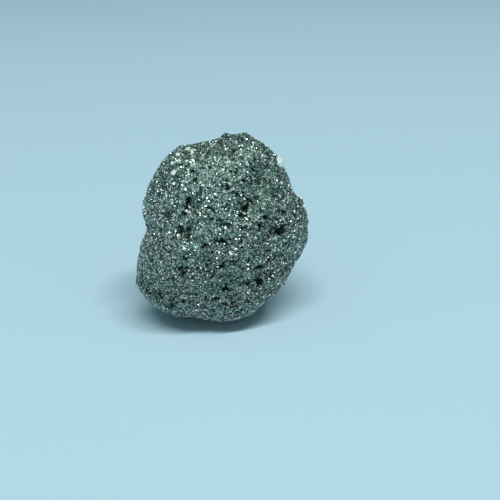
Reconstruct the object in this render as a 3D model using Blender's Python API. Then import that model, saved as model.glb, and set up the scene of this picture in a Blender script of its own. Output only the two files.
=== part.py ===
"""A pyrite nodule: one lump of small iron sulphide crystals that grew into each other.

The lump stands on a small flat spot. +Z is up, its best side faces -Y, lengths are in metres, and
the origin is on the floor, under the middle of the lump's box.
"""

import math
import random
from collections import namedtuple

import bmesh
import bpy
from mathutils import Matrix, Vector, noise

# The best side is looked at from the front, this far above the floor. Sight axes are across to the
# right, up square to the line of sight, and near, back along it. Places on the front are given as
# an eye at this point, in sight axes, sees them against the plane through the lump's middle.
SIGHT_ELEVATION = math.radians(25)
EYE = Vector((0.0084, -0.0066, 0.2185))
SIGHT_ROUNDS = 4  # how often the nearness of a place on the front is worked out anew

# The lump's outline on that side, clockwise from its top: across and up from the lump's middle.
OUTLINE = [
    (0.0015, 0.0264),
    (0.0083, 0.0258),
    (0.0114, 0.0242),
    (0.0169, 0.0197),
    (0.0186, 0.0167),
    (0.0216, 0.0121),
    (0.0221, 0.0098),
    (0.0250, 0.0047),
    (0.0256, -0.0045),
    (0.0219, -0.0097),
    (0.0196, -0.0135),
    (0.0185, -0.0167),
    (0.0128, -0.0223),
    (0.0076, -0.0270),
    (0.0006, -0.0284),
    (-0.0078, -0.0269),
    (-0.0140, -0.0265),
    (-0.0215, -0.0234),
    (-0.0242, -0.0196),
    (-0.0254, -0.0154),
    (-0.0244, -0.0065),
    (-0.0227, -0.0015),
    (-0.0231, 0.0032),
    (-0.0223, 0.0102),
    (-0.0158, 0.0201),
    (-0.0127, 0.0224),
    (-0.0097, 0.0223),
    (-0.0023, 0.0243),
]
FRONT_DEPTH = 0.0205
BACK_DEPTH = 0.0226
LEAN = 0.20  # how far the outline leans towards the viewer for each metre up
FULLNESS = 0.78  # under 1 makes the front and back fuller than an egg's
RIM_LIMIT = 0.995  # share of the way to the outline past which no place on the front is looked for

FLAT_CUT = 0.0013  # the flat spot is cut this far above the round lump's lowest point

# Unevenness of the whole skin: how far apart its swellings are, and how high.
SWELLINGS = [(0.0150, 0.00105), (0.0062, 0.00045)]
RIM_CALM = 0.75  # share of the unevenness that is missing along the outline
BACK_SWELLINGS = 1.7  # how much higher they are on the back
FACING_SPAN = 0.04  # the angle to each side over which the way the skin faces is measured

# The skin itself is all crystal corners: a net of uneven triangles, each raised to a blunt tip.
NET_CUTS = 9  # how often each edge of the twenty sided start is cut
NET_SHIFT = 0.035  # how far a corner of the net strays sideways, as a share of the lump's radius
NET_RISE = 0.00018  # how far it strays in or out
NET_INSET = 0.0005  # the net lies this far inside the lump's outline, which its tips then reach
TIP_RISE = (0.16, 0.52)  # a tip's height over its triangle, as a share of the way to its corners
TIP_SPREAD = 0.25  # how far a tip strays from its triangle's middle, as a share of that way

# Bands in the lower half of the front rise to the right, like the edges of sheets.
BAND_SLOPE = math.radians(24)
BAND_SPACING = 0.0047
BAND_HEIGHT = 0.00042
BAND_TOP = -0.006
BAND_FADE = 0.006
BAND_RISE = 0.75  # share of a band's width over which it rises slowly, before its quick fall
BAND_WANDER = 0.3  # how far a band strays from its line, as a share of its width
BAND_WAVE = 0.009  # how far apart those bends are
BAND_RIM = 0.33  # under this nearness, as a direction's z, the bands fade out to the outline

# Creases in the front: a route of places across and up, the half width and the depth.
Crease = namedtuple("Crease", "route half_width depth")
VALLEY = Crease([(0.0124, 0.0178), (0.0106, 0.0122), (0.0080, 0.0078), (0.0066, 0.0048)], 0.0028, 0.0030)
VALLEY_FOOT = Crease([(0.0076, 0.0060), (0.0126, 0.0034), (0.0164, -0.0006)], 0.0016, 0.0013)
RIGHT_LOBE = Crease([(0.0208, 0.0124), (0.0182, 0.0072), (0.0168, -0.0006), (0.014, -0.005)], 0.0018, 0.0022)
SLOT = Crease([(-0.0093, 0.0082), (-0.0101, 0.0036), (-0.0112, -0.0022)], 0.0014, 0.0024)
LEFT_GROOVE = Crease([(-0.0196, 0.0044), (-0.0146, 0.0034)], 0.0010, 0.0010)
WAIST = Crease([(-0.0222, 0.0006), (-0.0160, -0.0016)], 0.0019, 0.0014)
LOW_LEFT = Crease([(-0.0236, -0.0142), (-0.0212, -0.0204)], 0.0012, 0.0012)
CHIN = Crease([(0.0105, -0.0154), (0.0020, -0.0186), (-0.0040, -0.0206)], 0.0014, 0.0012)
CREASES = [VALLEY, VALLEY_FOOT, RIGHT_LOBE, SLOT, LEFT_GROOVE, WAIST, LOW_LEFT, CHIN]
CREASE_REACH = 0.3  # how far past the outline, as a direction's z, those that reach it fade out

# Pits in the front: where they are across and up, their half width and half height, and their turn.
Pit = namedtuple("Pit", "across up half_width half_height turn")
PITS = [
    Pit(0.0068, 0.0058, 0.0010, 0.0021, -20),
    Pit(-0.0112, -0.0016, 0.0010, 0.0016, -15),
    Pit(-0.0098, 0.0060, 0.0007, 0.0014, -10),
    Pit(-0.0124, -0.0128, 0.0015, 0.0009, 10),
    Pit(0.0109, -0.0154, 0.0011, 0.0017, -10),
    Pit(0.0168, -0.0010, 0.0014, 0.0013, 30),
    Pit(0.0182, 0.0046, 0.0008, 0.0012, 0),
    Pit(0.0136, -0.0118, 0.0014, 0.0007, 30),
    Pit(-0.0026, -0.0204, 0.0016, 0.0007, 20),
    Pit(0.0036, -0.0225, 0.0015, 0.0007, 10),
    Pit(0.0015, -0.0182, 0.0014, 0.0007, 35),
    Pit(0.0000, -0.0042, 0.0012, 0.0007, -15),
    Pit(-0.0224, -0.0178, 0.0007, 0.0008, 0),
    Pit(-0.0188, -0.0190, 0.0008, 0.0007, -40),
]
PIT_CRYSTALS = 2  # each pit is the room that this many crystals would take
PIT_SPREAD = 0.6  # how far they lie along it, as a share of its half length
PIT_EDGE = 1.7  # their edge, as a share of the pit's smaller half size
BACK_PITS = 9
BACK_PIT_EDGE = (0.0014, 0.0022)
BACK_PIT_SPREAD = 0.04

# Crystals that stand out on the front: where they are across and up, and their edge.
Crystal = namedtuple("Crystal", "across up edge")
SHOWN_CRYSTALS = [
    Crystal(0.0157, 0.0190, 0.0023),
    Crystal(-0.0096, 0.0222, 0.0017),
    Crystal(-0.0142, 0.0192, 0.0016),
    Crystal(-0.0142, 0.0165, 0.0017),
    Crystal(-0.0052, 0.0133, 0.0016),
    Crystal(-0.0090, 0.0044, 0.0019),
    Crystal(0.0177, 0.0026, 0.0014),
    Crystal(0.0196, -0.0022, 0.0015),
]
CRYSTALS = 44
PIT_CLEARANCE = 0.0022  # no crystal's middle is nearer to a pit than this
FINE_EDGE = (0.0014, 0.0022)
COARSE_EDGE = (0.0018, 0.0028)
COARSE_SIDE = Vector((-0.6, 0.75, 0.3)).normalized()  # the shoulder where they are coarser
COARSE_REACH = 0.55  # cosine of the angle that it spans
SUNK = 0.12  # how far a crystal's middle is inside the lump's skin, as a share of its edge
FLOOR_GAP = 0.0003  # the least height of a crystal's or a pit's corner above the floor

SEED = 41

PYRITE_COLOUR = (0.30, 0.31, 0.24, 1)
PYRITE_ROUGHNESS = 0.38
PYRITE_METALLIC = 0.9


def clear_scene():
    for old in list(bpy.data.objects):
        bpy.data.objects.remove(old)


def polar_outline():
    """The outline's points as bearing and reach, in order, with two repeated past each end."""
    turn = 2 * math.pi
    places = sorted((math.atan2(up, across) % turn, math.hypot(across, up)) for across, up in OUTLINE)
    before = [(bearing - turn, reach) for bearing, reach in places[-2:]]
    after = [(bearing + turn, reach) for bearing, reach in places[:2]]
    return before + places + after


POLAR_OUTLINE = polar_outline()


def outline_reach(bearing):
    """How far the outline is from the lump's middle, on a smooth closed curve through its points."""
    bearing %= 2 * math.pi
    i = next(i for i in range(1, len(POLAR_OUTLINE) - 2) if POLAR_OUTLINE[i + 1][0] > bearing)
    (b0, r0), (b1, r1), (b2, r2), (b3, r3) = POLAR_OUTLINE[i - 1 : i + 3]
    gap = b2 - b1
    step = (bearing - b1) / gap
    slope_1, slope_2 = (r2 - r0) / (b2 - b0) * gap, (r3 - r1) / (b3 - b1) * gap
    ease = step * step * (3 - 2 * step)
    bend_1, bend_2 = step * (1 - step) ** 2, step * step * (step - 1)
    return r1 + ease * (r2 - r1) + bend_1 * slope_1 + bend_2 * slope_2


def gap_to_route(place, route):
    """Distance from a place on the front to a crease's route."""
    gaps = []
    for start, end in zip(route, route[1:]):
        start, end = Vector(start), Vector(end)
        share = (place - start).dot(end - start) / (end - start).length_squared
        gaps.append((place - start.lerp(end, min(1, max(0, share)))).length)
    return min(gaps)


def band_rise(place):
    """Height of the bands at a place on the front."""
    height = place.y * math.cos(BAND_SLOPE) - place.x * math.sin(BAND_SLOPE)
    wander = BAND_WANDER * noise.noise(place.to_3d() / BAND_WAVE)
    phase = (height / BAND_SPACING + wander) % 1
    strength = min(1, max(0, (BAND_TOP - place.y) / BAND_FADE))
    return BAND_HEIGHT * strength * min(phase / BAND_RISE, (1 - phase) / (1 - BAND_RISE))


def seen_place(point):
    """Where a point of the front is seen."""
    return EYE.xy + (point.xy - EYE.xy) / (1 - point.z / EYE.z)


def skin_point(direction):
    """The lump's skin in one direction from its middle, in sight axes."""
    reach = outline_reach(math.atan2(direction.y, direction.x))
    place = Vector((direction.x * reach, direction.y * reach))
    depth = FRONT_DEPTH if direction.z > 0 else -BACK_DEPTH
    near = depth * abs(direction.z) ** FULLNESS + LEAN * place.y
    base = Vector((place.x, place.y, near))
    calm = 1 - RIM_CALM * (1 - abs(direction.z)) ** 3
    if direction.z < 0:
        calm *= 1 + (BACK_SWELLINGS - 1) * min(1, -2 * direction.z)
    rise = sum(calm * height * noise.noise(base / spacing) for spacing, height in SWELLINGS)
    seen = seen_place(base)
    if direction.z > 0:
        rise += min(1, direction.z / BAND_RIM) * band_rise(seen)
    if direction.z > -CREASE_REACH:
        strength = min(1, 1 + direction.z / CREASE_REACH)
        for crease in CREASES:
            gap = gap_to_route(seen, crease.route) / crease.half_width
            rise -= strength * crease.depth * math.exp(-gap * gap)
    return base + rise * base.normalized()


def skin_normal(direction):
    """Which way the skin faces there."""
    side = direction.orthogonal().normalized() * FACING_SPAN
    other = direction.cross(side)
    ahead, behind = skin_point((direction + side).normalized()), skin_point((direction - side).normalized())
    left, right = skin_point((direction + other).normalized()), skin_point((direction - other).normalized())
    return (ahead - behind).cross(left - right).normalized()


def front_direction(across, up):
    """The direction from the lump's middle to the place on the front that is seen there."""
    near = 0
    for _ in range(SIGHT_ROUNDS):
        place = EYE.xy + (Vector((across, up)) - EYE.xy) * (1 - near / EYE.z)
        bearing = math.atan2(place.y, place.x)
        rim = min(RIM_LIMIT, place.length / outline_reach(bearing))
        direction = Vector((rim * math.cos(bearing), rim * math.sin(bearing), math.sqrt(1 - rim * rim)))
        near = skin_point(direction).z
    return direction


def random_direction(rng):
    height, bearing = rng.uniform(-1, 1), rng.uniform(0, 2 * math.pi)
    ring = math.sqrt(1 - height * height)
    return Vector((ring * math.cos(bearing), ring * math.sin(bearing), height))


def skin_mesh(rng):
    """The round lump, in sight axes, with its net of crystal corners."""
    mesh = bmesh.new()
    bmesh.ops.create_icosphere(mesh, subdivisions=1, radius=1)
    bmesh.ops.subdivide_edges(mesh, edges=mesh.edges, cuts=NET_CUTS, use_grid_fill=True)
    for corner in mesh.verts:
        direction = (corner.co.normalized() + random_direction(rng) * NET_SHIFT).normalized()
        skin = skin_point(direction)
        corner.co = skin + skin.normalized() * (rng.uniform(-NET_RISE, NET_RISE) - NET_INSET)
    tips = bmesh.ops.poke(mesh, faces=mesh.faces)["verts"]
    mesh.normal_update()
    for tip in tips:
        way = tip.link_edges[0].other_vert(tip).co - tip.co
        tip.co += tip.normal * way.length * rng.uniform(*TIP_RISE) + way * TIP_SPREAD * rng.random()
    return mesh


def add_cube(mesh, placed, middle, edge, rng):
    """Adds a cube that is turned at random, unless it would reach the floor."""
    turn = Matrix.Rotation(rng.uniform(0, math.pi), 4, random_direction(rng))
    half_diagonal = edge * math.sqrt(3) / 2
    if (placed @ middle).z - half_diagonal > FLOOR_GAP:
        bmesh.ops.create_cube(mesh, size=edge, matrix=placed @ Matrix.Translation(middle) @ turn)


def pit_places(rng):
    """Middle and edge of each cube whose room is a pit's."""
    places = []
    for pit in PITS:
        tall = pit.half_height > pit.half_width
        length, breadth = max(pit.half_height, pit.half_width), min(pit.half_height, pit.half_width)
        way = Matrix.Rotation(math.radians(pit.turn), 2) @ Vector((0, 1) if tall else (1, 0))
        for i in range(PIT_CRYSTALS):
            along = length * PIT_SPREAD * (2 * i / (PIT_CRYSTALS - 1) - 1)
            direction = front_direction(pit.across + way.x * along, pit.up + way.y * along)
            places.append((skin_point(direction), PIT_EDGE * breadth))
    for _ in range(BACK_PITS):
        direction = random_direction(rng)
        direction.z = -abs(direction.z)
        for _ in range(PIT_CRYSTALS):
            nearby = (direction + random_direction(rng) * BACK_PIT_SPREAD).normalized()
            places.append((skin_point(nearby), rng.uniform(*BACK_PIT_EDGE)))
    return places


def crystal_places(rng, pits):
    """Middle and edge of each crystal that stands out of the skin, clear of the pits."""
    wanted = [(front_direction(c.across, c.up), c.edge) for c in SHOWN_CRYSTALS]
    for _ in range(CRYSTALS):
        direction = random_direction(rng)
        coarse = direction.dot(COARSE_SIDE) > COARSE_REACH
        wanted.append((direction, rng.uniform(*(COARSE_EDGE if coarse else FINE_EDGE))))
    places = []
    for direction, edge in wanted:
        middle = skin_point(direction) - skin_normal(direction) * SUNK * edge
        if min((middle - pit).length for pit, _ in pits) > PIT_CLEARANCE:
            places.append((middle, edge))
    return places


def cubes_mesh(places, placed, rng):
    mesh = bmesh.new()
    for middle, edge in places:
        add_cube(mesh, placed, middle, edge, rng)
    return mesh


def new_object(name, mesh):
    data = bpy.data.meshes.new(name)
    mesh.to_mesh(data)
    mesh.free()
    made = bpy.data.objects.new(name, data)
    bpy.context.collection.objects.link(made)
    return made


def combine(nodule, shape, operation):
    """Joins a shape to the nodule or cuts it out, and takes the shape away."""
    modifier = nodule.modifiers.new(shape.name, "BOOLEAN")
    modifier.object = shape
    modifier.operation = operation
    modifier.solver = "EXACT"
    modifier.use_self = True
    with bpy.context.temp_override(object=nodule):
        bpy.ops.object.modifier_apply(modifier=modifier.name)
    bpy.data.objects.remove(shape)


def island(corner):
    """The corner and all that its edges lead to."""
    found, ahead = {corner}, [corner]
    while ahead:
        here = ahead.pop()
        beyond = {edge.other_vert(here) for edge in here.link_edges} - found
        found |= beyond
        ahead.extend(beyond)
    return found


def tidy(nodule):
    """Takes away the loose chips that cuts leave, and puts the middle of the box over the origin."""
    mesh = bmesh.new()
    mesh.from_mesh(nodule.data)
    lump = island(max(mesh.verts, key=lambda corner: corner.co.z))
    bmesh.ops.delete(mesh, geom=[corner for corner in mesh.verts if corner not in lump], context="VERTS")
    for axis in (0, 1):
        places = [corner.co[axis] for corner in mesh.verts]
        shift = Vector((0, 0, 0))
        shift[axis] = -(min(places) + max(places)) / 2
        bmesh.ops.translate(mesh, vec=shift, verts=mesh.verts)
    mesh.to_mesh(nodule.data)
    mesh.free()


def pyrite_material():
    material = bpy.data.materials.new("pyrite")
    material.use_nodes = True
    surface = material.node_tree.nodes["Principled BSDF"]
    surface.inputs["Base Color"].default_value = PYRITE_COLOUR
    surface.inputs["Roughness"].default_value = PYRITE_ROUGHNESS
    surface.inputs["Metallic"].default_value = PYRITE_METALLIC
    return material


def build():
    clear_scene()
    rng = random.Random(SEED)
    skin = skin_mesh(rng)
    low, high = math.sin(SIGHT_ELEVATION), math.cos(SIGHT_ELEVATION)
    upright = Matrix(((1, 0, 0), (0, low, -high), (0, high, low))).to_4x4()
    lift = -min((upright @ corner.co).z for corner in skin.verts) - FLAT_CUT
    placed = Matrix.Translation((0, 0, lift)) @ upright
    bmesh.ops.transform(skin, matrix=placed, verts=skin.verts)
    cut = bmesh.ops.bisect_plane(
        skin,
        geom=skin.verts[:] + skin.edges[:] + skin.faces[:],
        plane_co=(0, 0, 0),
        plane_no=(0, 0, 1),
        clear_inner=True,
    )
    rim = [piece for piece in cut["geom_cut"] if isinstance(piece, bmesh.types.BMEdge)]
    bmesh.ops.edgeloop_fill(skin, edges=rim)
    bmesh.ops.recalc_face_normals(skin, faces=skin.faces)
    nodule = new_object("pyrite_nodule", skin)
    nodule.data.materials.append(pyrite_material())
    pits = pit_places(rng)
    crystals = crystal_places(rng, pits)
    combine(nodule, new_object("crystals", cubes_mesh(crystals, placed, rng)), "UNION")
    combine(nodule, new_object("pits", cubes_mesh(pits, placed, rng)), "DIFFERENCE")
    tidy(nodule)


build()
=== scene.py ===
import math
from collections import namedtuple

import bpy
import numpy as np
from mathutils import Matrix, Vector, kdtree, noise
from mathutils.bvhtree import BVHTree


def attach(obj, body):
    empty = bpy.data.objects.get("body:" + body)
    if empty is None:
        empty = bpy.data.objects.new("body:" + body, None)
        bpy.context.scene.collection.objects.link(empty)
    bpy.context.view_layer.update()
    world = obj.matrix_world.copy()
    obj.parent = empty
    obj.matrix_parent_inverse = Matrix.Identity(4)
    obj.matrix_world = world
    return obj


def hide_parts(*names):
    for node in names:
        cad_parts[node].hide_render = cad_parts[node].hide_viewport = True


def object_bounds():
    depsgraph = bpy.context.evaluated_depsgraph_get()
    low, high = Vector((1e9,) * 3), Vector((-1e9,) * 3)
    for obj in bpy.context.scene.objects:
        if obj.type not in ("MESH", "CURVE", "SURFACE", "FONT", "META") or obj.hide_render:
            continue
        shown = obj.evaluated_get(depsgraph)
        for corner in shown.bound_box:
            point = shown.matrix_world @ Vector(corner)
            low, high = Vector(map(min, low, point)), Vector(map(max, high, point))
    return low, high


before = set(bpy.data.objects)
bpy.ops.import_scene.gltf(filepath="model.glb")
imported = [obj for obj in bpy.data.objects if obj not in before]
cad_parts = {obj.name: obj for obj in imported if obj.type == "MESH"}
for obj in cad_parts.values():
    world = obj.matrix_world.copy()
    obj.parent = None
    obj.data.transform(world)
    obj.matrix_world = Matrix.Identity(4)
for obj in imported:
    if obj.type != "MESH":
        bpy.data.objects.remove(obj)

cad_low, cad_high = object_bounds()

# The sight line. The lump is seen from the front and a little above, left of the middle of a
# square picture. Sight axes are across to the right, up square to the sight line, and back along it.
SIGHT_ELEVATION = math.radians(25)
SIGHT_DISTANCE = 0.2185
FIELD_OF_VIEW = math.radians(38)
NEAREST_SEEN = 0.01
PICTURE_SIDE = 500
LUMP_PIXEL = (222, 228)  # where the lump's middle is in the picture, from the top left

middle = (cad_low + cad_high) / 2
sight_across = Vector((1, 0, 0))
sight_up = Vector((0, math.sin(SIGHT_ELEVATION), math.cos(SIGHT_ELEVATION)))
sight_back = Vector((0, -math.cos(SIGHT_ELEVATION), math.sin(SIGHT_ELEVATION)))
pixel = 2 * SIGHT_DISTANCE * math.tan(FIELD_OF_VIEW / 2) / PICTURE_SIDE
aim = middle + pixel * (
    (PICTURE_SIDE / 2 - LUMP_PIXEL[0]) * sight_across - (PICTURE_SIDE / 2 - LUMP_PIXEL[1]) * sight_up
)
eye = aim + SIGHT_DISTANCE * sight_back

bpy.ops.object.camera_add(location=eye, rotation=(math.pi / 2 - SIGHT_ELEVATION, 0, 0))
camera = bpy.context.object
camera.data.angle = FIELD_OF_VIEW
camera.data.clip_start = NEAREST_SEEN
bpy.context.scene.camera = camera
bpy.context.scene.view_settings.view_transform = "Standard"

# The studio. A plain pale floor of matt board, a wide strip light high up in front, a small lamp up on
# the left that makes single crystals glint, and even walls, pale in front and darker behind.
FLOOR_SIDE = 8
FLOOR_COLOUR = (0.42, 0.615, 0.69, 1)
FLOOR_ROUGHNESS = 0.6
WALL_STOPS = [(0.25, (0.70, 0.95, 1.0, 1)), (0.62, (0.12, 0.23, 0.27, 1))]  # from 0 in front to 1 behind
WALL_STRENGTH = 0.51
Light = namedtuple("Light", "name place turn width height power colour")
LAMP = Light("lamp", (-0.30, 0.05, 0.60), 0, 0.07, 0.07, 0.06, (0.95, 1.0, 0.99))
FRONT_STRIP = Light("front_strip", (0.42, -1.56, 3.30), 2, 2.9, 0.28, 143, (1.0, 0.97, 0.98))

bpy.ops.object.select_all(action="DESELECT")
bpy.ops.mesh.primitive_plane_add(size=FLOOR_SIDE)
floor = bpy.context.object
floor.name = "floor"
board = bpy.data.materials.new("pale_board")
board.use_nodes = True
surface = board.node_tree.nodes["Principled BSDF"]
surface.inputs["Base Color"].default_value = FLOOR_COLOUR
surface.inputs["Roughness"].default_value = FLOOR_ROUGHNESS
floor.data.materials.append(board)

for light in (LAMP, FRONT_STRIP):
    bpy.ops.object.light_add(type="AREA", location=light.place)
    made = bpy.context.object
    made.name = light.name
    aimed = (middle - Vector(light.place)).to_track_quat("-Z", "Y").to_matrix()
    made.rotation_euler = (aimed @ Matrix.Rotation(math.radians(light.turn), 3, "Z")).to_euler()
    made.data.shape = "RECTANGLE"
    made.data.size = light.width
    made.data.size_y = light.height
    made.data.energy = light.power
    made.data.color = light.colour


class Shade:
    """A node's output. Sums of shades and numbers add Math nodes to the same tree."""

    def __init__(self, socket):
        self.socket = socket

    def node(self, kind, settings=None, inputs=None, output=0):
        """Adds a node beside this one: its settings first, then the values or links of its sockets."""
        tree = self.socket.id_data
        made = tree.nodes.new(kind)
        for name, value in (settings or {}).items():
            if name == "stops":
                ramp = made.color_ramp.elements
                while len(ramp) < len(value):
                    ramp.new(1)
                for stop, (place, colour) in zip(ramp, value):
                    stop.position, stop.color = place, colour
            else:
                setattr(made, name, value)
        for name, value in (inputs or {}).items():
            if isinstance(value, Shade):
                tree.links.new(value.socket, made.inputs[name])
            else:
                made.inputs[name].default_value = value
        return Shade(made.outputs[output])

    def maths(self, operation, first, second):
        """That operation on two shades, or on a shade and a number."""
        return self.node("ShaderNodeMath", {"operation": operation}, {0: first, 1: second})

    def __add__(self, other):
        return self.maths("ADD", self, other)

    def __sub__(self, other):
        return self.maths("SUBTRACT", self, other)

    def __mul__(self, other):
        return self.maths("MULTIPLY", self, other)

    __radd__ = __add__
    __rmul__ = __mul__

    def __rsub__(self, other):
        return self.maths("SUBTRACT", other, self)

    def mixed(self, first, second):
        """The first colour where this shade is 0, the second where it is 1."""
        settings = {"data_type": "RGBA"}
        return self.node("ShaderNodeMix", settings, {"Factor": self, 6: first, 7: second}, 2)

    def tinted(self, colour):
        """This colour times another."""
        settings = {"data_type": "RGBA", "blend_type": "MULTIPLY"}
        return self.node("ShaderNodeMix", settings, {"Factor": 1.0, 6: self, 7: colour}, 2)

    def ramped(self, stops):
        """The colour that the stops give at this shade."""
        return self.node("ShaderNodeValToRGB", {"stops": stops}, {"Fac": self})

    def speckled(self, scale):
        """At these coordinates, a grey of its own for each small cell, so many of them to the metre."""
        cells = self.node("ShaderNodeTexVoronoi", None, {"Vector": self, "Scale": scale}, "Color")
        return cells.node("ShaderNodeRGBToBW", None, {"Color": cells})

    def stored(self, name):
        """What the mesh itself holds at each corner under that name."""
        return self.node("ShaderNodeAttribute", {"attribute_name": name}, None, "Fac")


def new_material(name, metallic, roughness):
    """A metal surface, its node, and the shade of its Object coordinates."""
    material = bpy.data.materials.new(name)
    material.use_nodes = True
    nodes = material.node_tree.nodes
    surface = nodes["Principled BSDF"]
    surface.inputs["Metallic"].default_value = metallic
    surface.inputs["Roughness"].default_value = roughness
    return material, surface, Shade(nodes.new("ShaderNodeTexCoord").outputs["Object"])


def link(shade, surface, name):
    """Feeds a shade to the socket of that name."""
    shade.socket.id_data.links.new(shade.socket, surface.inputs[name])


walls = bpy.data.worlds.new("pale_walls")
walls.use_nodes = True
nodes = walls.node_tree.nodes
direction = Shade(nodes.new("ShaderNodeTexCoord").outputs["Generated"])
backward = 0.5 + 0.5 * direction.node("ShaderNodeSeparateXYZ", None, {"Vector": direction}, "Y")
link(backward.ramped(WALL_STOPS), nodes["Background"], "Color")
nodes["Background"].inputs["Strength"].default_value = WALL_STRENGTH
bpy.context.scene.world = walls

# The lump. Iron sulphide that has grown together out of crystals too small to see, dark because
# little light comes back out of the gaps where it shows. It is the frame's solid with finer relief.
SAME_CORNER = 0.000001
BODY_VOXEL = 0.00040
BODY_SMOOTHING = 8
SMOOTHING_STRENGTH = 0.5

bpy.ops.object.select_all(action="DESELECT")
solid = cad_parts["pyrite_nodule"]
lump = bpy.data.objects.new("lump", solid.data.copy())
bpy.context.collection.objects.link(lump)
lump.matrix_world = solid.matrix_world
bpy.context.view_layer.objects.active = lump
lump.select_set(True)
bpy.ops.object.transform_apply(location=True, rotation=True, scale=True)
bpy.ops.object.mode_set(mode="EDIT")
bpy.ops.mesh.select_all(action="SELECT")
bpy.ops.mesh.remove_doubles(threshold=SAME_CORNER)
bpy.ops.object.mode_set(mode="OBJECT")
remesh = lump.modifiers.new("voxels", "REMESH")
remesh.mode = "VOXEL"
remesh.voxel_size = BODY_VOXEL
bpy.ops.object.modifier_apply(modifier=remesh.name)


def smooth(piece, rounds):
    """Evens out a piece's own mesh."""
    relax = piece.modifiers.new("relax", "SMOOTH")
    relax.factor = SMOOTHING_STRENGTH
    relax.iterations = rounds
    with bpy.context.temp_override(object=piece):
        bpy.ops.object.modifier_apply(modifier=relax.name)


def vertex_values(mesh, name):
    """The place or the normal of every corner of a mesh, as an array."""
    values = np.empty(len(mesh.vertices) * 3)
    mesh.vertices.foreach_get(name, values)
    return values.reshape(-1, 3)


smooth(lump, BODY_SMOOTHING)

# The outline as the eye sees it: how much further out it lies than the solid's, at these angles from
# the right, counterclockwise round the middle.
SWELLS = [
    (0, 0.0), (12, 0.0005), (24, 0.0005), (36, 0.0003), (60, 0.0007), (72, 0.0007), (84, 0.0006),
    (96, 0.0008), (102, 0.0015), (108, 0.0018), (114, 0.0013), (120, 0.0008), (126, 0.0007), (138, 0.0),
    (168, 0.0004), (180, 0.0001), (204, 0.0003), (216, 0.0004), (228, 0.0), (300, 0.0), (318, 0.0009),
    (330, 0.0009), (342, 0.0004), (360, 0.0),
]
RIM_RADIUS = 0.026  # from here outwards the whole swell counts, and less of it nearer the middle

corners = vertex_values(lump.data, "co")
seen = (corners - np.array(middle)) @ np.array([sight_across, sight_up]).T
angles = np.degrees(np.arctan2(seen[:, 1], seen[:, 0])) % 360
share = np.clip(np.linalg.norm(seen, axis=1) / RIM_RADIUS, 0, 1) ** 2
to_rim = seen / np.linalg.norm(seen, axis=1)[:, None]
swell = share * np.interp(angles, *zip(*SWELLS))
corners += (swell[:, None] * to_rim) @ np.array([sight_across, sight_up])
lump.data.vertices.foreach_set("co", corners.ravel())
lump.data.update()

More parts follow.
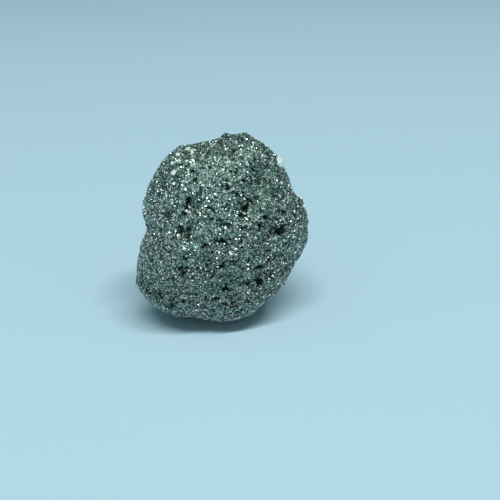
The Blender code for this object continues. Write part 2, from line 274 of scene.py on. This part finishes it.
# The pits. Slots and holes in the lump, left open between its crystals, most of them along bands that
# rise to the right on the front. Across and up are where the eye sees them from the lump's middle.
Pit = namedtuple("Pit", "across up half_length half_width turn depth")
SHOWN_PITS = [
    Pit(0.0072, 0.0060, 0.0020, 0.0005, 62, 0.0015),
    Pit(-0.0106, 0.0066, 0.0022, 0.0006, 78, 0.0017),
    Pit(-0.0123, -0.0009, 0.0016, 0.0006, 105, 0.0018),
    Pit(0.0175, -0.0009, 0.0016, 0.0009, 60, 0.0016),
    Pit(0.0184, 0.0045, 0.0010, 0.0006, 60, 0.0011),
    Pit(0.0223, 0.0036, 0.0014, 0.0005, -15, 0.0010),
    Pit(0.0135, 0.0030, 0.0014, 0.0005, -10, 0.0011),
    Pit(0.0117, 0.0006, 0.0011, 0.0006, 0, 0.0012),
    Pit(0.0009, 0.0012, 0.0014, 0.0005, -20, 0.0009),
    Pit(-0.0036, 0.0027, 0.0009, 0.0005, -10, 0.0009),
    Pit(-0.0039, 0.0060, 0.0012, 0.0005, -10, 0.0009),
    Pit(-0.0172, 0.0042, 0.0022, 0.0005, -8, 0.0009),
    Pit(-0.0132, 0.0153, 0.0017, 0.0006, -15, 0.0010),
    Pit(-0.0090, 0.0175, 0.0006, 0.0004, -20, 0.0008),
    Pit(0.0012, 0.0123, 0.0009, 0.0006, -45, 0.0010),
    Pit(0.0069, 0.0141, 0.0011, 0.0006, 0, 0.0009),
    Pit(0.0042, 0.0169, 0.0011, 0.0005, -10, 0.0008),
    Pit(0.0033, 0.0232, 0.0010, 0.0006, 10, 0.0010),
    Pit(-0.0226, 0.0048, 0.0007, 0.0005, 60, 0.0008),
    Pit(0.0000, -0.0042, 0.0015, 0.0006, -15, 0.0013),
    Pit(-0.0033, -0.0075, 0.0007, 0.0004, 0, 0.0008),
    Pit(-0.0111, -0.0093, 0.0009, 0.0005, 10, 0.0010),
    Pit(-0.0123, -0.0123, 0.0020, 0.0006, 15, 0.0015),
    Pit(-0.0114, -0.0138, 0.0009, 0.0005, 0, 0.0013),
    Pit(-0.0217, -0.0096, 0.0010, 0.0005, -10, 0.0009),
    Pit(0.0000, -0.0117, 0.0012, 0.0005, 40, 0.0011),
    Pit(0.0108, -0.0123, 0.0017, 0.0005, 25, 0.0014),
    Pit(0.0141, -0.0099, 0.0010, 0.0006, 60, 0.0012),
    Pit(0.0160, -0.0090, 0.0007, 0.0004, 30, 0.0009),
    Pit(0.0187, -0.0129, 0.0011, 0.0006, 60, 0.0012),
    Pit(0.0144, -0.0150, 0.0008, 0.0006, 45, 0.0011),
    Pit(0.0060, -0.0147, 0.0007, 0.0005, 30, 0.0009),
    Pit(0.0030, -0.0160, 0.0006, 0.0004, 20, 0.0008),
    Pit(0.0111, -0.0169, 0.0016, 0.0006, 80, 0.0016),
    Pit(0.0102, -0.0196, 0.0008, 0.0005, 60, 0.0010),
    Pit(0.0015, -0.0187, 0.0014, 0.0006, -20, 0.0015),
    Pit(-0.0018, -0.0214, 0.0016, 0.0005, 18, 0.0013),
    Pit(0.0009, -0.0229, 0.0008, 0.0005, 20, 0.0010),
    Pit(0.0033, -0.0241, 0.0011, 0.0005, 10, 0.0011),
    Pit(0.0084, -0.0214, 0.0006, 0.0005, 0, 0.0010),
    Pit(-0.0202, -0.0190, 0.0008, 0.0005, 80, 0.0011),
    Pit(-0.0190, -0.0202, 0.0006, 0.0005, 80, 0.0011),
    Pit(-0.0226, -0.0190, 0.0012, 0.0005, -40, 0.0010),
    Pit(-0.0117, -0.0229, 0.0010, 0.0005, -15, 0.0010),
    Pit(-0.0153, -0.0235, 0.0015, 0.0006, 70, 0.0009),
]
MORE_PITS = 1400
LIT_SIDE = Vector((-0.35, -0.25, 0.90)).normalized()  # up, left and to the front, where the light comes from: away from it pits are more, and crystals are painted lighter on it and darker away from it
PIT_LEAN = 0.7  # how much rarer pits are on the lit side
PIT_HALF_LENGTH = (0.0003, 0.0007)
PIT_SHAPE = (0.4, 0.9)  # half width, as a share of the half length
PIT_DEPTH = (0.9, 1.8)  # depth, as a share of the half width
BAND_TURN = 24  # how the small pits on the front lie, in degrees
BAND_SPREAD = 25
RAGGED = 1.1  # how uneven the outline of a pit is, and over what length
RAGGED_SPAN = 0.0007
GAP_DEPTH = 0.0003  # what lies deeper than this under the levelled skin counts as a gap
GAP_GAIN = 1.2  # how much further in it goes, as a share of what lies deeper
KNOB_HEIGHT = 0.0001  # what stands out further than this over the levelled skin is worn down to it
CALM_SMOOTHING = 80  # levels out all that is narrower than the pits
DARKEST = 0.0010  # at this depth the painted pit shade is black
SEED = 7

rng = np.random.default_rng(SEED)
skin = vertex_values(lump.data, "co")
skin_facing = vertex_values(lump.data, "normal")
raggedness = np.array([1 + RAGGED * noise.noise(Vector(corner) / RAGGED_SPAN) for corner in skin]) ** 2
seen_skin = BVHTree.FromObject(lump, bpy.context.evaluated_depsgraph_get())


def seen_on_lump(across, up):
    """The place on the lump that is seen there and the way it faces."""
    through = middle + across * sight_across + up * sight_up
    place, facing, _, _ = seen_skin.ray_cast(eye, (through - eye).normalized())
    return place, facing


def towards(side, places):
    """How far each place lies on that side of the lump's middle, from -1 to 1."""
    offset = places - np.array(middle)
    return offset @ np.array(side) / np.linalg.norm(offset, axis=1)


def pit_profile(place, facing, turn, half_length, half_width, depth):
    """How far a pit takes each corner of the skin in. Its turn is seen from the front."""
    along = Vector((math.cos(turn), 0, 0)) + math.sin(turn) * sight_up
    along = (along - along.dot(facing) * facing).normalized()
    offset = skin - np.array(place)
    reach = (offset @ np.array(along) / half_length) ** 2
    reach += (offset @ np.array(facing.cross(along)) / half_width) ** 2
    reach += (offset @ np.array(facing) / (half_length + depth)) ** 2
    reach *= raggedness
    return depth * np.exp(-reach * reach)


hollow = np.zeros(len(skin))
for pit in SHOWN_PITS:
    place, facing = seen_on_lump(pit.across, pit.up)
    sizes = pit.half_length, pit.half_width, pit.depth
    hollow = np.maximum(hollow, pit_profile(place, facing, math.radians(pit.turn), *sizes))
likely = 1 - PIT_LEAN * towards(LIT_SIDE, skin)
for corner in rng.choice(len(skin), MORE_PITS, replace=False, p=likely / likely.sum()):
    half_length = rng.uniform(*PIT_HALF_LENGTH)
    half_width = half_length * rng.uniform(*PIT_SHAPE)
    turn = math.radians(rng.normal(BAND_TURN, BAND_SPREAD))
    sizes = half_length, half_width, half_width * rng.uniform(*PIT_DEPTH)
    hollow = np.maximum(hollow, pit_profile(skin[corner], Vector(skin_facing[corner]), turn, *sizes))

levelled = bpy.data.objects.new("levelled", lump.data.copy())
bpy.context.collection.objects.link(levelled)
smooth(levelled, CALM_SMOOTHING)
level_facing = vertex_values(levelled.data, "normal")
gaps = ((vertex_values(levelled.data, "co") - skin) * level_facing).sum(axis=1)
bpy.data.objects.remove(levelled)
hollow += GAP_GAIN * np.maximum(gaps - GAP_DEPTH, 0)
wear = np.maximum(-gaps - KNOB_HEIGHT, 0)
lump.data.vertices.foreach_set("co", (skin - (hollow + wear)[:, None] * level_facing).ravel())
lump.data.update()
# Painted shade: the deeper a corner lies in a pit or a gap, the darker it is coloured.
darkness = np.clip(hollow / DARKEST, 0, 1)
lump.data.attributes.new("darkness", "FLOAT", "POINT").data.foreach_set("value", darkness)

# The lump's finish: a fine speckle of dark and lighter grains, with painted shade that turns it black in
# the pits and gaps.
BODY_METALLIC = 0.9
BODY_ROUGHNESS = 0.5
BODY_SPECKLE = 2200
BODY_STOPS = [(0.3, (0.010, 0.027, 0.023, 1)), (0.8, (0.215, 0.315, 0.268, 1))]
PAINTED_PIT_SHADE = (0.004, 0.013, 0.011, 1)
RELIEF_SCALE = 3500
RELIEF_HEIGHT = 0.0001

material, surface, place = new_material("pyrite_lump", BODY_METALLIC, BODY_ROUGHNESS)
tint = place.speckled(BODY_SPECKLE).ramped(BODY_STOPS)
link(place.stored("darkness").mixed(tint, PAINTED_PIT_SHADE), surface, "Base Color")
relief = place.node("ShaderNodeTexVoronoi", None, {"Vector": place, "Scale": RELIEF_SCALE}, "Distance")
bumps = relief.node("ShaderNodeBump", None, {"Height": relief, "Distance": RELIEF_HEIGHT})
link(bumps, surface, "Normal")
lump.data.materials.clear()
lump.data.materials.append(material)
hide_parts("pyrite_nodule")
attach(lump, "root")

# The crystals. Cubes, four sided points and small many sided grains of the same iron sulphide, half
# sunk in the lump and in each other. Each is lighter or darker and greyer or greener than the next,
# and a few have faces bright enough to shine. Larger cubes stand between them and glint.
CANDIDATES = 600000  # random places, most of which find no room
EDGE = 0.00032
EDGE_SPREAD = 0.28  # how much longer or shorter edges are, as a share
EDGE_LIMITS = (0.00025, 0.0012)
COARSE_SIDE = Vector((-0.20, -0.30, 0.90)).normalized()  # the shoulder where they are coarser
COARSE_GAIN = 0.30
ROOM = 0.78  # how near the next crystal may be, as a share of the edge
TOP = 0.62  # how far a crystal reaches from its middle, as a share of its edge
RISE = (-0.00004, 0.00013)  # how far its top stands out of the lump
PIT_START = 0.3  # a place whose painted pit shade is more than this is in a pit
PIT_SHARE = 0.35  # of the crystals that would grow in a pit, this many do
PAINTED_PIT_SHADING = 0.8  # painted shade: how much darker those at its bottom are
FOOT_ROOM = 0.87  # how high a crystal's middle is over the floor at least, as a share of its edge
BRIGHT_SHARE = 0.055  # how many have bright faces
TONE_SHAPE = 0.7  # under 1, so that more are light or dark than between
PAINTED_SIDE_LIGHT = 0.25  # painted light: how much lighter they are on the lit side, and darker away from it
LOW_CONTRAST = 1.2  # how much more they differ in tone away from it
GREY_SPAN = 0.007  # how far apart greyer and greener patches are
GREY_CHANGE = 0.30
GREY_LOW = 0.50  # how much greyer they are away from the lit side
GREY_SPREAD = 0.30  # how much neighbours differ

# Patches on the front that differ: how far they reach from their middle, and how much greyer and how much
# lighter they are there. The darker ones in the valley on the upper right and at the lower left corner are
# painted shade.
Patch = namedtuple("Patch", "across up reach greyer lighter")
PATCHES = [
    Patch(0.0160, 0.0140, 0.0050, -0.10, -0.35),
    Patch(0.0110, 0.0090, 0.0045, 0.25, -0.40),
    Patch(0.0060, -0.0050, 0.0035, 0.20, -0.10),
    Patch(0.0080, 0.0190, 0.0050, 0.05, -0.12),
    Patch(0.0040, 0.0270, 0.0040, 0.10, -0.25),
    Patch(-0.0030, 0.0215, 0.0060, -0.10, 0.05),
    Patch(-0.0190, 0.0045, 0.0040, 0.40, 0.10),
    Patch(-0.0170, -0.0110, 0.0060, 0.30, 0.05),
    Patch(-0.0050, -0.0080, 0.0060, 0.05, -0.08),
    Patch(-0.0205, -0.0180, 0.0060, 0.0, -0.15),
    Patch(0.0165, -0.0140, 0.0050, 0.0, -0.05),
]

# The larger cubes, where the eye sees each of them glint, and the length of its edge.
Glint = namedtuple("Glint", "across up edge")
GLINTS = [
    Glint(0.0166, 0.0202, 0.0022),
    Glint(-0.0102, 0.0238, 0.0012),
    Glint(-0.0094, 0.0230, 0.0013),
    Glint(-0.0148, 0.0196, 0.0010),
    Glint(-0.0145, 0.0168, 0.0016),
    Glint(-0.0132, 0.0220, 0.0010),
    Glint(-0.0021, 0.0252, 0.0005),
    Glint(-0.0036, 0.0253, 0.0004),
    Glint(0.0051, 0.0246, 0.0007),
    Glint(0.0058, 0.0249, 0.0005),
    Glint(-0.0042, 0.0238, 0.0006),
    Glint(-0.0012, 0.0202, 0.0005),
    Glint(-0.0064, 0.0136, 0.0009),
    Glint(-0.0058, 0.0130, 0.0008),
    Glint(-0.0102, 0.0175, 0.0006),
    Glint(0.0070, 0.0208, 0.0006),
    Glint(0.0106, 0.0202, 0.0005),
    Glint(0.0036, 0.0154, 0.0006),
    Glint(0.0175, 0.0138, 0.0008),
    Glint(0.0021, 0.0136, 0.0006),
    Glint(-0.0108, 0.0053, 0.0009),
    Glint(-0.0101, 0.0048, 0.0010),
    Glint(0.0076, 0.0114, 0.0005),
    Glint(0.0045, 0.0024, 0.0006),
    Glint(0.0085, 0.0012, 0.0007),
    Glint(0.0184, 0.0027, 0.0006),
    Glint(0.0100, -0.0030, 0.0006),
    Glint(0.0212, -0.0021, 0.0009),
    Glint(0.0184, -0.0034, 0.0007),
    Glint(-0.0214, 0.0117, 0.0006),
    Glint(-0.0154, -0.0015, 0.0006),
    Glint(0.0139, -0.0117, 0.0006),
    Glint(0.0079, -0.0147, 0.0006),
    Glint(-0.0138, -0.0144, 0.0006),
    Glint(0.0172, -0.0156, 0.0006),
    Glint(0.0024, -0.0248, 0.0006),
    Glint(0.0079, -0.0210, 0.0005),
    Glint(-0.0147, -0.0087, 0.0006),
    Glint(-0.0237, -0.0096, 0.0005),
    Glint(0.0012, 0.0057, 0.0006),
    Glint(0.0168, 0.0072, 0.0007),
    Glint(0.0030, 0.0072, 0.0006),
    Glint(-0.0130, 0.0203, 0.0009),
    Glint(-0.0173, 0.0194, 0.0007),
    Glint(-0.0149, 0.0075, 0.0008),
    Glint(-0.0141, 0.0068, 0.0007),
    Glint(-0.0176, 0.0053, 0.0006),
    Glint(-0.0021, 0.0212, 0.0007),
    Glint(0.0171, 0.0098, 0.0007),
    Glint(-0.0104, -0.0134, 0.0006),
]
GLINT_RISE = 0.12  # how far its glinting face stands out of the lump, as a share of its edge
GLINT_SPIN = 1.6  # how far it may be turned round that face, in radians
GLINT_ROOM = 0.6  # how near its middle a small crystal may reach, as a share of its edge
SMALL_REACH = 0.3  # how far a small crystal reaches there, as a share of its own edge
GLINT_TONE = 0.8
GLINT_GREYNESS = 0.3
LARGEST_EDGE = 0.002  # only the largest cube's edge is longer, and its tone is the lightest
LARGEST_TONE = 1.0

# The forms of the crystals, and how many of each there are among the dull and the bright ones.
GRAIN_RADIUS = 0.78
POINT_RADIUS = 0.7
POINT_HEIGHT = 0.8
GRAIN_SHARES = [0.50, 0.15, 0.35]
BRIGHT_SHARES = [0.9, 0.1, 0]
LARGE_SHARES = [1, 0, 0]
DRAWN_OUT = (0.75, 1.15)  # each side's length, as a share of the edge


def crystal_form(name):
    """A crystal of edge 1 round the origin, as its corners and faces."""
    bpy.ops.object.select_all(action="DESELECT")
    if name == "grain":
        bpy.ops.mesh.primitive_uv_sphere_add(segments=4, ring_count=3, radius=GRAIN_RADIUS)
    elif name == "point":
        bpy.ops.mesh.primitive_cone_add(vertices=4, radius1=POINT_RADIUS, depth=POINT_HEIGHT)
    else:
        bpy.ops.mesh.primitive_cube_add(size=1)
    form = bpy.context.object
    corners = np.array([corner.co for corner in form.data.vertices])
    faces = [list(face.vertices) for face in form.data.polygons]
    bpy.data.objects.remove(form)
    return corners, faces


FORMS = [crystal_form("cube"), crystal_form("point"), crystal_form("grain")]


def scattered(mesh, values, count):
    """Random places on a mesh, evenly over its area: where, the way it faces, and a value there."""
    mesh.calc_loop_triangles()
    corners = np.empty(len(mesh.loop_triangles) * 3, dtype=np.int32)
    mesh.loop_triangles.foreach_get("vertices", corners)
    corners = corners.reshape(-1, 3)
    points, normals = vertex_values(mesh, "co"), vertex_values(mesh, "normal")
    a, b, c = points[corners].transpose(1, 0, 2)
    area = np.linalg.norm(np.cross(b - a, c - a), axis=1)
    chosen = corners[rng.choice(len(area), count, p=area / area.sum())]
    weights = rng.dirichlet((1, 1, 1), count)
    facing = (normals[chosen] * weights[:, :, None]).sum(axis=1)
    facing /= np.linalg.norm(facing, axis=1)[:, None]
    places = (points[chosen] * weights[:, :, None]).sum(axis=1)
    return places, facing, (values[chosen] * weights).sum(axis=1)


def spaced(places, rooms):
    """Which places to keep so that each has its room, taken in order."""
    tree = kdtree.KDTree(len(places))
    for i, place in enumerate(places):
        tree.insert(place, i)
    tree.balance()
    free = np.ones(len(places), dtype=bool)
    kept = []
    for i, place in enumerate(places):
        if free[i]:
            kept.append(i)
            free[[j for _, j, _ in tree.find_range(place, rooms[i])]] = False
    return kept


def only(chosen, *arrays):
    """The chosen rows of each array."""
    return [array[chosen] for array in arrays]


def random_turns(count):
    """Rotation matrices that favour no direction."""
    w, x, y, z = rng.normal(size=(4, count))
    length = np.sqrt(w * w + x * x + y * y + z * z)
    w, x, y, z = w / length, x / length, y / length, z / length
    return np.array([
        [1 - 2 * (y * y + z * z), 2 * (x * y - z * w), 2 * (x * z + y * w)],
        [2 * (x * y + z * w), 1 - 2 * (x * x + z * z), 2 * (y * z - x * w)],
        [2 * (x * z - y * w), 2 * (y * z + x * w), 1 - 2 * (x * x + y * y)],
    ]).transpose(2, 0, 1)


def joined_crystals(name, places, edges, turns, shares, values, material):
    """One piece of many crystals: each of some form, drawn out a little, turned, and placed."""
    kinds = rng.choice(len(FORMS), len(places), p=shares)
    sizes = edges[:, None] * rng.uniform(*DRAWN_OUT, (len(places), 3))
    all_points, all_faces, order, start = [], [], [], 0
    for kind, (corners, faces) in enumerate(FORMS):
        own = np.flatnonzero(kinds == kind)
        points = np.einsum("nij,nkj->nki", turns[own], corners * sizes[own][:, None])
        all_points.append((points + places[own][:, None]).reshape(-1, 3))
        order.append(np.repeat(own, len(corners)))
        for first in range(start, start + len(own) * len(corners), len(corners)):
            all_faces.extend([first + corner for corner in face] for face in faces)
        start += len(own) * len(corners)
    mesh = bpy.data.meshes.new(name)
    mesh.from_pydata(np.concatenate(all_points), [], all_faces)
    for value_name, value in values.items():
        value = value[np.concatenate(order)]
        mesh.attributes.new(value_name, "FLOAT", "POINT").data.foreach_set("value", value)
    mesh.materials.append(material)
    made = bpy.data.objects.new(name, mesh)
    bpy.context.collection.objects.link(made)
    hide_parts("pyrite_nodule")
    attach(made, "root")


# Where the small crystals are. Of all candidates in turn, those stay that have room and are clear of
# the floor, and in the pits only some of them.
# dark is the painted pit shade where each candidate lies.
places, facing, dark = scattered(lump.data, darkness, CANDIDATES)
coarse = np.clip(towards(COARSE_SIDE, places), 0, 1) ** 2
edges = EDGE * (1 + COARSE_GAIN * coarse) * np.exp(rng.normal(0, EDGE_SPREAD, CANDIDATES))
edges = np.clip(edges, *EDGE_LIMITS)
grown = (dark < PIT_START) | (rng.random(CANDIDATES) < PIT_SHARE)
places, facing, edges, dark = only(grown, places, facing, edges, dark)
kept = spaced(places, ROOM * edges)
places, facing, edges, dark = only(kept, places, facing, edges, dark)
places = places + facing * (rng.uniform(*RISE, len(edges)) - TOP * edges)[:, None]
places, edges, dark = only(places[:, 2] > FOOT_ROOM * edges, places, edges, dark)

# How each of them is turned and how light and grey it is.
turns = random_turns(len(edges))
toward_lit_side = towards(LIT_SIDE, places)
bright = rng.random(len(edges)) < BRIGHT_SHARE
contrast = 1 + LOW_CONTRAST * np.clip(-toward_lit_side, 0, 1)
# Painted light: each crystal's own tone, made lighter on the lit side and darker away from it.
tones = 0.5 + (rng.beta(TONE_SHAPE, TONE_SHAPE, len(edges)) - 0.5) * contrast + PAINTED_SIDE_LIGHT * toward_lit_side
greyness = 0.5 + GREY_CHANGE * np.array([noise.noise(Vector(place) / GREY_SPAN) for place in places])
greyness += rng.normal(0, GREY_SPREAD, len(edges)) - GREY_LOW * toward_lit_side
for patch in PATCHES:
    spot, _ = seen_on_lump(patch.across, patch.up)
    share = np.exp(-(((places - np.array(spot)) / patch.reach) ** 2).sum(axis=1))
    # In the valley on the upper right and at the lower left corner this darkening is painted shade.
    tones += patch.lighter * share
    greyness += patch.greyer * share
# Painted shade: crystals deep in a pit are darker.
tones = np.clip(tones, 0, 1) * (1 - PAINTED_PIT_SHADING * dark)
greyness = np.clip(greyness, 0, 1)

# Where the larger cubes are. One face of each is turned so that it shows the lamp to the eye, and the
# small crystals leave them room.
glint_places, glint_turns, glint_edges = [], [], []
for glint in GLINTS:
    spot, away = seen_on_lump(glint.across, glint.up)
    to_lamp, to_eye = (Vector(LAMP.place) - spot).normalized(), (eye - spot).normalized()
    mirror = (to_lamp + to_eye).to_track_quat("Z", "Y").to_matrix()
    turn = mirror @ Matrix.Rotation(rng.uniform(0, GLINT_SPIN), 3, "Z")
    face = spot + away * (GLINT_RISE * glint.edge)
    glint_turns.append(np.array(turn))
    glint_places.append(np.array(face - turn.col[2] * (0.5 * glint.edge)))
    glint_edges.append(glint.edge)
glint_places, glint_turns, glint_edges = map(np.array, (glint_places, glint_turns, glint_edges))
apart = np.linalg.norm(places[:, None] - glint_places[None], axis=2) - GLINT_ROOM * glint_edges[None]
free = (apart - SMALL_REACH * edges[:, None] > 0).all(axis=1)
places, turns, edges, bright, tones, greyness = only(free, places, turns, edges, bright, tones, greyness)

# The crystals' finish: smooth metal in the bright ones and the larger cubes, duller in the grains, with
# a fine speckle that goes over them all.
GRAIN_ROUGHNESS = 0.38
GRAIN_STOPS = [
    (0, (0.01, 0.03, 0.027, 1)),
    (0.3, (0.09, 0.16, 0.14, 1)),
    (0.6, (0.40, 0.54, 0.475, 1)),
    (1, (0.94, 0.98, 0.91, 1)),
]
FACE_ROUGHNESS = 0.28
FACE_STOPS = [
    (0, (0.34, 0.42, 0.38, 1)),
    (0.5, (0.60, 0.66, 0.60, 1)),
    (1, (0.88, 0.90, 0.84, 1)),
]
CRYSTAL_SPECKLE = 4500
SPECKLE_CONTRAST = 1.1  # how far it makes the tone lighter or darker
GREEN_TINT = (0.84, 1.01, 0.99, 1)
GREY_TINT = (1.20, 0.95, 1.00, 1)


def crystal_material(name, roughness, stops):
    """A metal whose colour follows each crystal's stored tone, speckle and greyness."""
    material, surface, place = new_material(name, 1, roughness)
    tone = place.stored("tone") + SPECKLE_CONTRAST * (place.speckled(CRYSTAL_SPECKLE) - 0.5)
    tint = place.stored("greyness").mixed(GREEN_TINT, GREY_TINT)
    link(tone.ramped(stops).tinted(tint), surface, "Base Color")
    return material


grain_material = crystal_material("pyrite_grains", GRAIN_ROUGHNESS, GRAIN_STOPS)
face_material = crystal_material("pyrite_faces", FACE_ROUGHNESS, FACE_STOPS)

# The crystals' pieces. Each is one mesh of at most so many crystals, and the larger cubes come last.
PER_PIECE = 12000

for name, kind, shares, material in [
    ("crystals", np.flatnonzero(bright), BRIGHT_SHARES, face_material),
    ("grains", np.flatnonzero(~bright), GRAIN_SHARES, grain_material),
]:
    for number, first in enumerate(range(0, len(kind), PER_PIECE), 1):
        some = kind[first : first + PER_PIECE]
        values = {"tone": tones[some], "greyness": greyness[some]}
        own = only(some, places, edges, turns)
        joined_crystals(f"{name}_{number}", *own, shares, values, material)

values = {
    "tone": np.where(glint_edges > LARGEST_EDGE, LARGEST_TONE, GLINT_TONE),
    "greyness": np.full(len(GLINTS), GLINT_GREYNESS),
}
joined_crystals("large_cubes", glint_places, glint_edges, glint_turns, LARGE_SHARES, values, face_material)
